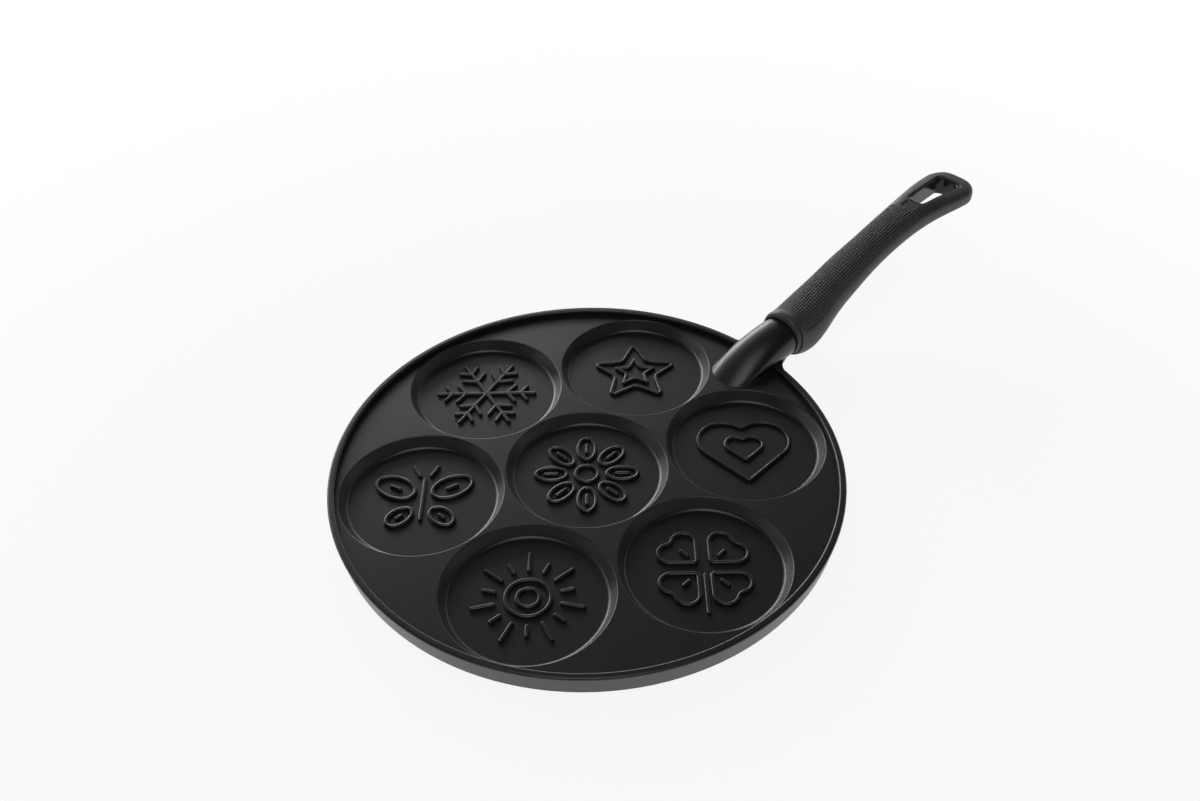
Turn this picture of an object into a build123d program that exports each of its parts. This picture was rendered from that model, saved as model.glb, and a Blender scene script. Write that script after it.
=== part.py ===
from build123d import *
import os
from math import cos, radians, sin, sqrt

# A cast pancake pan with seven round wells and a soft-grip handle, in millimetres.
# The origin is the middle of the pan on the surface that it stands on, +X runs out along
# the handle and +Z is up.

# Pan: the round casting with its raised rim, and the skirt that it stands on
pan_diameter = 266.7
pan_height = 12.3
skirt_lean = 2.0
skirt_thickness = 3.0
deck_height = 9.1
deck_thickness = 3.0
rim_width = 3.9
rim_rounding = 1.1
rim_root_rounding = 0.4
foot_rounding = 0.6

# Wells: one in the middle and a ring of six around it, as wide as the pan has room for
wells_around = 6
well_rim_land = 1.25
well_land = 1.6
well_draft = 7.4
well_floor_thickness = 3.1
well_edge_rounding = 0.7
well_corner_rounding = 2.2
cup_thickness = 2.6

# Raised figures on the floors of the wells, drawn with ridges of one width
ridge_width = 2.2
ridge_height = 1.6
ridge_rounding = 0.9
ridge_root = 0.4
figure_turn = -41.0
figure_corner = 3.0

# Daisy: an eye and separate petals, each with a vein
daisy_petals = 8
daisy_eye = 14.0
daisy_petal_length = 18.4
daisy_petal_width = 11.4
daisy_petal_radius = 18.6
daisy_vein = 8.0

# Star: one outline inside the other
star_points = 5
star_reach = 28.0
star_waist = 13.0
star_inner_reach = 14.0
star_inner_waist = 6.5
star_inner_corner = 1.2

# Heart: one inside the other, each a turned square with two round lobes
heart_side = 30.0
heart_inner_side = 13.0
heart_drop = 4.0

# Snowflake: arms with two pairs of branches
snow_arms = 6
snow_reach = 28.0
snow_branches = ((11.5, 8.0), (19.0, 6.5))
snow_branch_angle = 55.0

# Sun: a ring inside a ring, with long and short rays in turn
sun_disc = 24.0
sun_inner_disc = 13.0
sun_ray_pairs = 7
sun_ray_start = 15.5
sun_long_ray = 12.5
sun_short_ray = 7.5

# Clover: four heart-shaped leaves with veins, and a stem
clover_leaf_side = 14.0
clover_leaf_radius = 13.0
clover_vein = 6.0
clover_stem_reach = 28.0

# Butterfly: two pairs of oval wings with spots, a body and two feelers
wing_length = 24.0
wing_width = 16.0
wing_place = (14.6, 8.6)
wing_turn = 28.0
small_wing_length = 17.0
small_wing_width = 12.0
small_wing_place = (10.8, -12.0)
small_wing_turn = -42.0
wing_spot_share = 0.3
butterfly_body = 30.0
feeler_length = 9.0
feeler_place = (4.6, 20.0)
feeler_turn = 62.0

# Neck: rises out of the deck where two wells leave it room, given as a share of its width,
# arches over the rim and ends inside the collar of the handle; an arch of 0 is a straight crown,
# and a higher swell brings the neck to its full width sooner
neck_toe_room = 0.7
neck_width = 27.2
neck_width_at_toe = 19.2
neck_swell = 6
neck_width_at_collar = 24.8
neck_crown_at_collar = 26.0
neck_arch = 0.9
neck_keel_at_collar = 5.0
neck_keel_at_toe = 1.6
neck_squareness = 2.2
neck_buried_length = 6.0
neck_steps = 8

# Web: the neck's root flared into the skirt, wider at its top than at its bottom
web_radius_at_bottom = 4.0
web_radius_at_top = 11.5
web_bottom = 2.6
web_inset = 0.6

# Tang: the bar beyond the neck, in line with the screw
collar_gap = 15.65
collar_recess = 2.6
screw_line_height = 18.8
screw_line_angle = 15.1
tang_length = 38.0
tang_width = 13.0
tang_height = 7.2
tang_rounding = 1.6
tang_clearance = 0.2

# Screw, its washer and the channel that it is put in through
screw_diameter = 4.0
screw_length = 50.0
screw_seat = 66.0
screw_head_diameter = 6.8
screw_head_height = 2.8
screw_head_rounding = 0.8
screw_recess_width = 1.2
screw_recess_depth = 1.5
screw_clearance = 0.25
screw_hole_spare = 2.0
washer_diameter = 6.8
washer_thickness = 0.9
washer_gap = 0.8
channel_clearance = 0.3

# Grip: cross-sections, each with its place as a share of the length behind the collar's face,
# the height of its crown, the height of its keel, its width, and how square it is
# (2 is an ellipse)
grip_length = 162.5
collar_section = (0.0, 30.3, 3.6, 27.1, 2.1)
heel_section = (0.049, 28.9, 1.1, 30.1, 2.2)
palm_section = (0.123, 31.6, 3.2, 30.9, 2.25)
rise_section = (0.215, 37.6, 12.8, 27.0, 2.3)
mid_section = (0.314, 43.3, 22.3, 25.3, 2.3)
waist_section = (0.437, 49.2, 30.9, 23.4, 2.3)
back_section = (0.56, 53.9, 37.5, 23.5, 2.4)
shoulder_section = (0.683, 57.0, 42.1, 25.1, 2.7)
paddle_section = (0.806, 57.8, 44.6, 29.6, 3.0)
paddle_end_section = (0.898, 57.2, 44.8, 32.2, 3.2)
tip_crown = 56.8
tip_keel = 45.0
tip_width = 32.2
tip_squareness = 3.2
tip_corner = 13.0
tip_edge = 4.6
tip_steps = 7
section_points = 20
skin_thickness = 1.2

# Collar: the bead round the mouth of the handle, rounded in front and most so at its crown,
# and the groove behind it
collar_length = 2.8
collar_groove = 0.8
collar_bead_at_crown = 3.6
collar_front_length = 2.3
collar_front_at_crown = 2.6
collar_front_at_side = 0.5
collar_front_steps = 5
collar_mouth_clearance = 0.35

# Hanging slot through the paddle; the skin stops short of it and leaves a ledge of core
slot_tip_land = 11.5
slot_length = 34.5
slot_width_near = 9.6
slot_width_far = 14.4
slot_corner = 3.9
slot_ledge = 1.3

# Worked out from the sizes above: a well and a half, with the land between them and the land
# at the rim, fill the deck from its middle to the rim
wells_to_rim = 1.5
pan_radius = pan_diameter / 2
foot_radius = pan_radius - skirt_lean
deck_bottom = deck_height - deck_thickness
well_mouth = (pan_radius - rim_width - well_rim_land - well_land) / wells_to_rim
well_ring_radius = well_mouth + well_land
well_floor = well_mouth - well_draft
collar_radius = pan_radius + collar_gap
slot_start = grip_length - slot_tip_land - slot_length
screw_head_base = screw_seat + washer_thickness
screw_tip = screw_head_base - screw_length


def polar(radius, angle):
    """A point in the plane, at a radius and an angle in degrees from +X."""
    return (radius * cos(radians(angle)), radius * sin(radians(angle)))


# Where the two wells beside the neck leave its toe the room that it needs
beside_toe_x, beside_toe_y = polar(well_ring_radius, 180 / wells_around)
toe_to_well_middle = beside_toe_y - neck_toe_room * neck_width / 2
neck_toe_radius = beside_toe_x + sqrt((well_mouth / 2) ** 2 - toe_to_well_middle**2)


def band(outline):
    """A ridge that follows the inside of an outline."""
    with BuildSketch() as ridge:
        add(outline)
        offset(amount=-ridge_width, mode=Mode.SUBTRACT)
    return ridge.sketch


def heart_outline(side):
    """A heart: a square stood on its corner, with a round lobe on each upper side."""
    lobe = side / sqrt(8)
    with BuildSketch() as heart:
        Rectangle(side, side, rotation=45)
        with Locations((lobe, lobe), (-lobe, lobe)):
            Circle(side / 2)
        tips = heart.vertices().filter_by(lambda v: abs(v.X) < side / 8)
        fillet(tips, figure_corner)
    return heart.sketch


def daisy():
    with BuildSketch() as figure:
        Circle(daisy_eye / 2)
        Circle(daisy_eye / 2 - ridge_width, mode=Mode.SUBTRACT)
        with PolarLocations(daisy_petal_radius, daisy_petals):
            Ellipse(daisy_petal_length / 2, daisy_petal_width / 2)
            Ellipse(
                daisy_petal_length / 2 - ridge_width,
                daisy_petal_width / 2 - ridge_width,
                mode=Mode.SUBTRACT,
            )
            SlotOverall(daisy_vein, ridge_width)
    return figure.sketch


def star_outline(reach, waist, corner):
    """A star between the circles of its points and of its waist."""
    step = 180 / star_points
    corners = []
    for k in range(star_points):
        corners.append(polar(reach, 90 + 2 * k * step))
        corners.append(polar(waist, 90 + (2 * k + 1) * step))
    with BuildSketch() as outline:
        with BuildLine():
            Polyline(*corners, close=True)
        make_face()
        fillet(outline.vertices(), radius=corner)
    return outline.sketch


def star():
    with BuildSketch() as figure:
        add(band(star_outline(star_reach, star_waist, figure_corner)))
        add(band(star_outline(star_inner_reach, star_inner_waist, star_inner_corner)))
    return figure.sketch


def heart():
    with BuildSketch() as figure:
        add(band(heart_outline(heart_side)))
        with Locations((0, heart_inner_side / heart_drop)):
            add(band(heart_outline(heart_inner_side)))
    with BuildSketch() as lowered:
        with Locations((0, -heart_drop)):
            add(figure.sketch)
    return lowered.sketch


def snowflake():
    with BuildSketch() as figure:
        for k in range(snow_arms):
            arm = k * 360 / snow_arms
            with Locations(Location(polar(snow_reach / 2, arm), arm)):
                SlotCenterToCenter(snow_reach - ridge_width, ridge_width)
            for start, length in snow_branches:
                for side in (-1, 1):
                    lean = arm + side * snow_branch_angle
                    middle = Vector(*polar(start, arm)) + Vector(*polar(length / 2, lean))
                    with Locations(Location(tuple(middle), lean)):
                        SlotCenterToCenter(length, ridge_width)
    return figure.sketch


def sun():
    rays = sun_ray_pairs
    long_ray = sun_ray_start + sun_long_ray / 2
    short_ray = sun_ray_start + sun_short_ray / 2
    with BuildSketch() as figure:
        for disc_diameter in (sun_disc, sun_inner_disc):
            Circle(disc_diameter / 2)
            Circle(disc_diameter / 2 - ridge_width, mode=Mode.SUBTRACT)
        with PolarLocations(long_ray, rays, start_angle=90):
            SlotOverall(sun_long_ray, ridge_width)
        with PolarLocations(short_ray, rays, start_angle=90 + 180 / rays):
            SlotOverall(sun_short_ray, ridge_width)
    return figure.sketch


def clover():
    leaf = band(heart_outline(clover_leaf_side))
    with BuildSketch() as figure:
        for k in range(4):
            angle = 45 + 90 * k
            with Locations(Location(polar(clover_leaf_radius, angle), angle - 90)):
                add(leaf)
                SlotOverall(clover_vein, ridge_width, rotation=90)
        stem_start = ridge_width * 1.5
        with Locations((0, -(stem_start + clover_stem_reach) / 2)):
            SlotOverall(clover_stem_reach - stem_start, ridge_width, rotation=90)
    return figure.sketch


def butterfly():
    wings = (
        (wing_length, wing_width, wing_place, wing_turn),
        (small_wing_length, small_wing_width, small_wing_place, small_wing_turn),
    )
    with BuildSketch() as figure:
        for side in (-1, 1):
            for length, width, (x, y), turn in wings:
                with Locations(Location((side * x, y), side * turn)):
                    Ellipse(length / 2, width / 2)
                    Ellipse(length / 2 - ridge_width, width / 2 - ridge_width, mode=Mode.SUBTRACT)
                    SlotOverall(length * wing_spot_share, ridge_width)
            with Locations(Location((side * feeler_place[0], feeler_place[1]), side * feeler_turn)):
                SlotOverall(feeler_length, ridge_width)
        SlotOverall(butterfly_body, ridge_width, rotation=90)
    return figure.sketch


def raised(figure):
    """A figure as a solid with rounded tops, its foot sunk into the floor of the well."""
    with BuildPart() as relief:
        with BuildSketch(Plane.XY.offset(well_floor_thickness - ridge_root)):
            add(figure)
        extrude(amount=ridge_root + ridge_height)
        fillet(relief.faces().group_by(Axis.Z)[-1].edges(), radius=ridge_rounding)
    return relief.part


def rounded_square(half_width, half_height, squareness):
    """Points round a superellipse, which is an ellipse where its squareness is 2."""
    points = []
    for k in range(section_points):
        turn = radians((k + 0.5) * 360 / section_points)
        across = abs(cos(turn)) ** (2 / squareness)
        up = abs(sin(turn)) ** (2 / squareness)
        points.append(
            (
                half_width * (across if cos(turn) > 0 else -across),
                half_height * (up if sin(turn) > 0 else -up),
            )
        )
    return points


def cross_section(x, crown, keel, width, squareness):
    """A face square to X, between a crown and a keel."""
    place = Plane((x, 0, (crown + keel) / 2), x_dir=(0, 1, 0), z_dir=(1, 0, 0))
    with BuildSketch(place) as outline:
        with BuildLine():
            Spline(*rounded_square(width / 2, (crown - keel) / 2, squareness), periodic=True)
        make_face()
    return outline.sketch


def on_screw_line(distance):
    """A plane square to the screw, at a distance behind the collar's face."""
    direction = Vector(cos(radians(screw_line_angle)), 0, sin(radians(screw_line_angle)))
    start = Vector(collar_radius, 0, screw_line_height)
    return Plane(start + direction * distance, x_dir=(0, 1, 0), z_dir=direction)


def bar_on_screw_line(start, end, spare):
    """The tang's bar along the screw's line, grown by a spare width all round."""
    with BuildPart() as bar:
        with BuildSketch(on_screw_line(start)):
            RectangleRounded(tang_width + 2 * spare, tang_height + 2 * spare, tang_rounding)
        extrude(amount=end - start)
    return bar.part


def rod_on_screw_line(start, end, diameter):
    """A round rod along the screw's line."""
    with BuildPart() as rod:
        with BuildSketch(on_screw_line(start)):
            Circle(diameter / 2)
        extrude(amount=end - start)
    return rod.part


# Disc: deck, rim and skirt in one turned profile
with BuildPart() as disc:
    with BuildSketch(Plane.XZ) as disc_profile:
        with BuildLine():
            Polyline(
                (0, deck_bottom),
                (pan_radius - skirt_thickness, deck_bottom),
                (foot_radius - skirt_thickness, 0),
                (foot_radius, 0),
                (pan_radius, pan_height),
                (pan_radius - rim_width, pan_height),
                (pan_radius - rim_width, deck_height),
                (0, deck_height),
                close=True,
            )
        make_face()
        outer = disc_profile.vertices().filter_by(lambda v: v.X > pan_radius / 2)
        levels = outer.group_by(Axis.Y)
        fillet(levels[-1], rim_rounding)
        fillet(levels[-2], rim_root_rounding)
        fillet(levels[0].sort_by(Axis.X)[-1], foot_rounding)
    revolve(axis=Axis.Z)

# Cup: the metal that a well stands in, down to the stove
with BuildPart() as cup:
    with BuildSketch(Plane.XY):
        Circle(well_floor / 2 + cup_thickness)
    with BuildSketch(Plane.XY.offset(deck_height - deck_thickness / 2)):
        Circle(well_mouth / 2 + cup_thickness)
    loft()
    chamfer(cup.faces().sort_by(Axis.Z)[0].edges(), foot_rounding)

# Well: the space that one pancake is baked in
with BuildPart() as well:
    with BuildSketch(Plane.XY.offset(well_floor_thickness)):
        Circle(well_floor / 2)
    with BuildSketch(Plane.XY.offset(deck_height)):
        Circle(well_mouth / 2)
    loft()
    fillet(well.faces().sort_by(Axis.Z)[0].edges(), well_corner_rounding)
    with BuildSketch(Plane.XY.offset(deck_height)):
        Circle(well_mouth / 2)
    extrude(amount=pan_height - deck_height)

def neck_section(run):
    """The neck's cross-section at a distance behind its toe, where it is level with the deck."""
    share = run / (collar_radius - neck_toe_radius)
    arched = share * (1 + neck_arch * (1 - share))
    narrower_at_toe = (neck_width - neck_width_at_toe) * (1 - share) ** neck_swell
    narrower_at_collar = (neck_width - neck_width_at_collar) * share**2
    return cross_section(
        neck_toe_radius + run,
        deck_height + (neck_crown_at_collar - deck_height) * arched,
        neck_keel_at_toe + (neck_keel_at_collar - neck_keel_at_toe) * share,
        neck_width - narrower_at_toe - narrower_at_collar,
        neck_squareness,
    )


# Neck: from inside the deck to the bottom of the collar's mouth
neck_end = collar_radius - neck_toe_radius + collar_recess
with BuildPart() as neck:
    for k in range(neck_steps + 1):
        add(neck_section(k / neck_steps * (neck_end + neck_buried_length) - neck_buried_length))
    loft()


def web_outline(height, corner):
    """The web at one height, with a round corner between the skirt and each side of the neck."""
    skirt = foot_radius + skirt_lean * height / pan_height
    side = neck_width_at_collar / 2 - web_inset
    middle = Vector(sqrt((skirt + corner) ** 2 - (side + corner) ** 2), side + corner)
    on_skirt = middle * (skirt / (skirt + corner))
    on_neck = Vector(middle.X, side)
    root = sqrt((pan_radius - rim_width + rim_root_rounding) ** 2 - on_skirt.Y**2)
    with BuildSketch(Plane.XY.offset(height)) as outline:
        with BuildLine():
            RadiusArc(on_skirt, on_neck, -corner)
            Line(on_neck, (on_neck.X, -side))
            RadiusArc((on_neck.X, -side), (on_skirt.X, -on_skirt.Y), -corner)
            Polyline((on_skirt.X, -on_skirt.Y), (root, -on_skirt.Y), (root, on_skirt.Y), on_skirt)
        make_face()
    return outline.sketch


with BuildPart() as web:
    add(web_outline(web_bottom, web_radius_at_bottom))
    add(web_outline(pan_height - rim_rounding, web_radius_at_top))
    loft(ruled=True)


def figured_well(figure, place):
    """The space of one well with its raised figure left standing on the floor."""
    with BuildPart() as space:
        add(well.part)
        add(raised(figure), mode=Mode.SUBTRACT)
    return Location((*place, 0), (0, 0, figure_turn)) * space.part


# Pan casting: everything that is cast in one, with the tang and the hole for the screw
ring_angles = [(k + 0.5) * 360 / wells_around for k in range(wells_around)]
well_places = [(0, 0)] + [polar(well_ring_radius, angle) for angle in ring_angles]
figures = (daisy, star, snowflake, butterfly, sun, clover, heart)
wells = []
for n, place in enumerate(well_places):
    wells.append(figured_well(figures[n % len(figures)](), place))
with BuildPart() as pan_casting:
    add(disc.part)
    with Locations(*well_places):
        add(cup.part)
    add([neck.part, web.part, bar_on_screw_line(0, tang_length, 0)])
    add(wells, mode=Mode.SUBTRACT)
    mouths = pan_casting.edges().filter_by(GeomType.CIRCLE).filter_by(
        lambda edge: abs(edge.center().Z - deck_height) < rim_root_rounding / 4
        and abs(edge.radius - well_mouth / 2) < rim_root_rounding / 4
    )
    fillet(mouths, well_edge_rounding)
    add(
        rod_on_screw_line(screw_tip - screw_hole_spare, tang_length, screw_diameter),
        mode=Mode.SUBTRACT,
    )
pan_casting.part.label = "pan_casting"


def drawn_in(distance_left, radius):
    """How far a rounded edge has drawn in, at a distance from the end that it rounds."""
    if distance_left >= radius:
        return 0.0
    return radius - sqrt(radius**2 - (radius - distance_left) ** 2)


def grip_sections(inset):
    """The cross-sections of the grip's outside, or of a surface at an inset below it."""
    body = [
        collar_section,
        heel_section,
        palm_section,
        rise_section,
        mid_section,
        waist_section,
        back_section,
        shoulder_section,
        paddle_section,
        paddle_end_section,
    ]
    sections = []
    for share, crown, keel, width, squareness in body:
        x = collar_radius + share * grip_length
        sections.append(
            cross_section(x, crown - inset, keel + inset, width - 2 * inset, squareness)
        )
    start = paddle_end_section
    end = (1.0, tip_crown, tip_keel, tip_width, tip_squareness)
    tip_length = (end[0] - start[0]) * grip_length
    rounded_length = min(tip_corner, tip_length)
    for k in range(tip_steps):
        left = (1 - (k + 1) / tip_steps) ** 2 * rounded_length
        along = 1 - left / tip_length
        share, crown, keel, width, squareness = (a + along * (b - a) for a, b in zip(start, end))
        edge = inset + drawn_in(left, tip_edge)
        corner = inset + drawn_in(left, tip_corner)
        x = collar_radius + share * grip_length - inset * (1 - left / rounded_length)
        sections.append(
            cross_section(x, crown - edge, keel + edge, width - 2 * corner, squareness)
        )
    return sections


# Grip's outer surface, whole from the collar's face to the tip
with BuildPart() as grip_outside:
    add(grip_sections(0))
    loft()

# The same surface under the skin
with BuildPart() as grip_inside:
    add(grip_sections(skin_thickness))
    loft()


def slot_prism(grow):
    """The hanging slot as a tall block, grown outwards all round."""
    start = collar_radius + slot_start
    end = start + slot_length
    corners = (
        (start, -slot_width_near / 2),
        (end, -slot_width_far / 2),
        (end, slot_width_far / 2),
        (start, slot_width_near / 2),
    )
    with BuildPart() as prism:
        with BuildSketch(Plane.XY.offset(tip_keel / 2)) as outline:
            with BuildLine():
                Polyline(*corners, close=True)
            make_face()
            fillet(outline.vertices(), radius=slot_corner)
            offset(amount=grow)
        extrude(amount=tip_crown)
    return prism.part


def grip_slice(start, end):
    """A block that takes in the whole grip between two distances behind the collar."""
    side = 2 * (tip_width + tip_crown)
    with BuildPart() as block:
        with BuildSketch(Plane.YZ.offset(collar_radius + start)):
            Rectangle(side, side)
        extrude(amount=end - start)
    return block.part


# Collar's bead with its rounded front
_, bead_crown, bead_keel, bead_width, bead_squareness = collar_section
with BuildPart() as collar_bead:
    for k in range(collar_front_steps + 1):
        turn = radians(90 * k / collar_front_steps)
        at_crown = collar_front_at_crown * (1 - sin(turn))
        at_side = collar_front_at_side * (1 - sin(turn))
        add(
            cross_section(
                collar_radius + collar_front_length * (1 - cos(turn)),
                bead_crown - at_crown,
                bead_keel + at_side,
                bead_width - 2 * at_side,
                bead_squareness,
            )
        )
    loft()
    extrude(collar_bead.faces().sort_by(Axis.X)[-1], amount=collar_length - collar_front_length)

# Mouth that the neck enters
with BuildPart() as collar_mouth:
    add(
        cross_section(
            collar_radius - collar_mouth_clearance,
            bead_crown - collar_bead_at_crown,
            neck_keel_at_collar - collar_mouth_clearance,
            neck_width_at_collar + 2 * collar_mouth_clearance,
            neck_squareness,
        )
    )
    extrude(amount=collar_recess + collar_mouth_clearance, dir=(1, 0, 0))

# Core: the rigid moulding with its socket for the tang and the screw's channel
channel_diameter = screw_head_diameter + 2 * channel_clearance
channel_end = slot_start + slot_length / 3
with BuildPart() as handle_core:
    add(grip_inside.part)
    add(grip_slice(0, collar_front_length), mode=Mode.SUBTRACT)
    add(collar_bead.part)
    add(
        [
            collar_mouth.part,
            bar_on_screw_line(0, tang_length + tang_clearance, tang_clearance),
            rod_on_screw_line(tang_length, screw_seat, screw_diameter + 2 * screw_clearance),
            rod_on_screw_line(screw_seat, channel_end, channel_diameter),
            slot_prism(0),
        ],
        mode=Mode.SUBTRACT,
    )
handle_core.part.label = "handle_core"

# Skin: moulded over the core behind the collar's groove, and held back from the slot
with BuildPart() as grip_skin:
    add(grip_outside.part)
    add(grip_slice(collar_length + collar_groove, grip_length + tip_width), mode=Mode.INTERSECT)
    add([grip_inside.part, slot_prism(slot_ledge)], mode=Mode.SUBTRACT)
grip_skin.part.label = "grip_skin"

# Screw: a round head with a cross recess, and a shank that reaches into the tang
with BuildPart() as handle_screw:
    with BuildSketch(on_screw_line(screw_tip)):
        Circle(screw_diameter / 2)
    extrude(amount=screw_length)
    with BuildSketch(on_screw_line(screw_head_base)):
        Circle(screw_head_diameter / 2)
    extrude(amount=screw_head_height)
    fillet(handle_screw.faces().sort_by(Axis.X)[-1].edges(), radius=screw_head_rounding)
    with BuildSketch(on_screw_line(screw_head_base + screw_head_height)):
        Rectangle(screw_diameter, screw_recess_width)
        Rectangle(screw_recess_width, screw_diameter)
    extrude(amount=-screw_recess_depth, mode=Mode.SUBTRACT)
handle_screw.part.label = "handle_screw"

# Washer: a split ring between the screw's head and its seat in the core
with BuildPart() as lock_washer:
    with BuildSketch(on_screw_line(screw_seat)):
        Circle(washer_diameter / 2)
        Circle(screw_diameter / 2 + screw_clearance, mode=Mode.SUBTRACT)
        with Locations((washer_diameter / 2, 0)):
            Rectangle(washer_diameter, washer_gap, mode=Mode.SUBTRACT)
    extrude(amount=washer_thickness)
lock_washer.part.label = "lock_washer"

os.makedirs("parts", exist_ok=True)
export_step(pan_casting.part, "parts/pan_casting.step")
export_step(handle_core.part, "parts/handle_core.step")
export_step(grip_skin.part, "parts/grip_skin.step")
export_step(handle_screw.part, "parts/handle_screw.step")
export_step(lock_washer.part, "parts/lock_washer.step")
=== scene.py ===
import bmesh
import bpy
import math
import numpy as np
from mathutils import Matrix, Vector


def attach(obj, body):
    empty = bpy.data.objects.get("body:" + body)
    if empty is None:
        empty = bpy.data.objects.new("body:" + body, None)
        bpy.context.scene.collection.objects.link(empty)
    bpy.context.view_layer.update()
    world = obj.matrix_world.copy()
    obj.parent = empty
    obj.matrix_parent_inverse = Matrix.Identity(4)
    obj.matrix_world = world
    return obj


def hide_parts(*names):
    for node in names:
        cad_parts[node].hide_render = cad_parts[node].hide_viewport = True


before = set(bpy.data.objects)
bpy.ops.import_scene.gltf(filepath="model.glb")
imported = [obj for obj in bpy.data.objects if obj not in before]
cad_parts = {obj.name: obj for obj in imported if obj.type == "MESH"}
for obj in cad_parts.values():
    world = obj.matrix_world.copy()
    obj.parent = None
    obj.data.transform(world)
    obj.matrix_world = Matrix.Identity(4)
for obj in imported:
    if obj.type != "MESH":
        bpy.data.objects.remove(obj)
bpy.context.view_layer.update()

# The object's shapes are worked out in millimetres, and its meshes are made in metres
MM = 0.001
TINY = 1e-9

# Pan: the outlines of its disc and of a well, as (radius, height, rounding) at each corner
DISC_PROFILE = (
    (0.0, 6.1, 0.0),
    (130.35, 6.1, 0.0),
    (128.35, 0.0, 0.0),
    (131.35, 0.0, 0.6),
    (133.35, 12.3, 1.1),
    (129.45, 12.3, 1.1),
    (129.45, 9.1, 0.4),
    (0.0, 9.1, 0.0),
)
WELL_PROFILE = (
    (60.0, 9.1, 0.0),
    (42.2, 9.1, 0.7),
    (38.5, 3.1, 2.2),
    (0.0, 3.1, 0.0),
)
WELLS_AROUND = 6
WELL_RING_RADIUS = 86.0

# How a corner of the casting's mesh is matched to an outline
ON_SURFACE = 0.01
NO_MATCH = 1e9
OFF_THE_ARC = 1e3
ARC_REACH = 0.55
FACING_WEIGHT = 0.02

# Rim's edge: it follows the casting's within a tenth of a millimetre, and stays inside its box
RIM_PROFILE = (
    (132.0, 10.2, 0.0),
    (132.965, 10.2, 0.0),
    (133.305, 12.315, 1.1),
    (129.36, 12.315, 1.1),
    (129.36, 10.2, 0.0),
    (130.5, 10.2, 0.0),
)
RIM_PLACES = 720
RIM_ARC_STEPS = 12
LINE_END = 0.05

# Neck: the sizes of the casting, and the fillet along its foot
DECK_HEIGHT = 9.1
NECK_TOE = 100.166
NECK_WIDTH = 27.2
NECK_WIDTH_AT_TOE = 19.2
NECK_SWELL = 6
NECK_WIDTH_AT_COLLAR = 24.8
NECK_CROWN = 26.0
NECK_ARCH = 0.9
NECK_KEEL = 5.0
NECK_KEEL_AT_TOE = 1.6
NECK_SQUARENESS = 2.2
NECK_FOOT_LENGTH = 29.0
FOOT_ROUNDING = 0.8
FOOT_SUNK = 0.3
FOOT_STEPS = 6
FOOT_PLACES = 48
SLOPE_STEP = 0.001

# Grip: the same cross-sections as the moulding, each with its place as a share of the length,
# its crown, its keel, its width, and how square it is
COLLAR_RADIUS = 149.0
GRIP_LENGTH = 162.5
SECTIONS = (
    (0.0, 30.3, 3.6, 27.1, 2.1),
    (0.049, 28.9, 1.1, 30.1, 2.2),
    (0.123, 31.6, 3.2, 30.9, 2.25),
    (0.215, 37.6, 12.8, 27.0, 2.3),
    (0.314, 43.3, 22.3, 25.3, 2.3),
    (0.437, 49.2, 30.9, 23.4, 2.3),
    (0.56, 53.9, 37.5, 23.5, 2.4),
    (0.683, 57.0, 42.1, 25.1, 2.7),
    (0.806, 57.8, 44.6, 29.6, 3.0),
    (0.898, 57.2, 44.8, 32.2, 3.2),
    (1.0, 56.8, 45.0, 32.2, 3.2),
)
TIP_CORNER = 13.0
TIP_EDGE = 4.6
SKIN_START = 3.6
SKIN_THICKNESS = 1.2
SKIN_INSET = 0.03
SKIN_EDGE_ROUNDING = 0.45
SATIN_END = (COLLAR_RADIUS + SKIN_START) * MM

# Grip's mesh: points round a section, and the places of its sections from the collar to the tip
GRIP_SIDES = 360
TURN_STEPS = 1440
EDGE_SHARES = (0, 0.1, 0.35, 0.65, 1)
PADDLE_STEP = 0.4
PADDLE_PLACES = 90
TIP_PLACES = 40
TIP_GAP = 0.002
LEAST_WIDTH = 0.4

# Raised dots of the grip, in rows along and across it, on its crown and on its underside.
# The angles are turns away from the crown.
DOT_PITCH = 1.75
DOT_HEIGHT = 0.5
DOT_RADIUS = 0.78
DOT_STEPS = 7
DOTS_START = 5.0
DOTS_START_SLANT = 3.5
DOTS_END = 107.0
DOTS_MARGIN = 1.0
DOTS_TOP_ANGLE = 59.0
DOTS_UNDER_ANGLE = 118.0
DOTS_UNDER_START = 9.0
DOTS_UNDER_END = 103.0
DOTS_FADE = 1.2
# Painted light on the dots: 0 is painted shade between dots, 1 a painted highlight on a top; plain
# skin takes this share
PLAIN_DOT_SHADING = 0.5

# Hanging slot, the panel sunk into the paddle round it, and the lip on its ledge
SLOT_START = 116.5
SLOT_LENGTH = 34.5
SLOT_WIDTH_NEAR = 9.6
SLOT_WIDTH_FAR = 14.4
SLOT_CORNER = 3.9
SLOT_LEDGE = 1.3
PANEL_START = 107.5
PANEL_NECK_END = 122.5
PANEL_NECK_WIDTH = 9.2
PANEL_MARGIN = 1.9
PANEL_DEPTH = 0.75
PANEL_WALL = 0.6
CUTTER_LOW = 30.0
CUTTER_HIGH = 70.0
LIP_HALF_WIDTH = 0.6
LIP_HEIGHT = 0.55
LIP_CORNER_STEPS = 12
LIP_STEP = 0.8
LIP_SIDES = 16

# Places in a noise's range where a colour is at its darker and at its lighter end
NOISE_LOW = 0.3
NOISE_HIGH = 0.7

# Floor, in metres: white light takes the place of its own colour, more so further out
FLOOR_RADIUS = 3.0
FLOOR_DROP = 0.0001
FLOOR_SIDES = 96
FLOOR_WHITE = 0.9
WHITE_NEAR = 0.88
FADE_START = 0.2
FADE_END = 0.6

# Studio: a low white wall all round and a dim ceiling, with the wall rising towards one side.
# Heights are the sine of the angle above the horizon.
WALL_SIDE = (0.34, 0.94, 0.0)
WALL_RISE = 0.56
WALL_TOP = 0.06
WALL_COLOUR = (1.0, 1.0, 1.0)
CEILING_START = 0.32
CEILING_COLOUR = (0.05, 0.05, 0.05)

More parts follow.
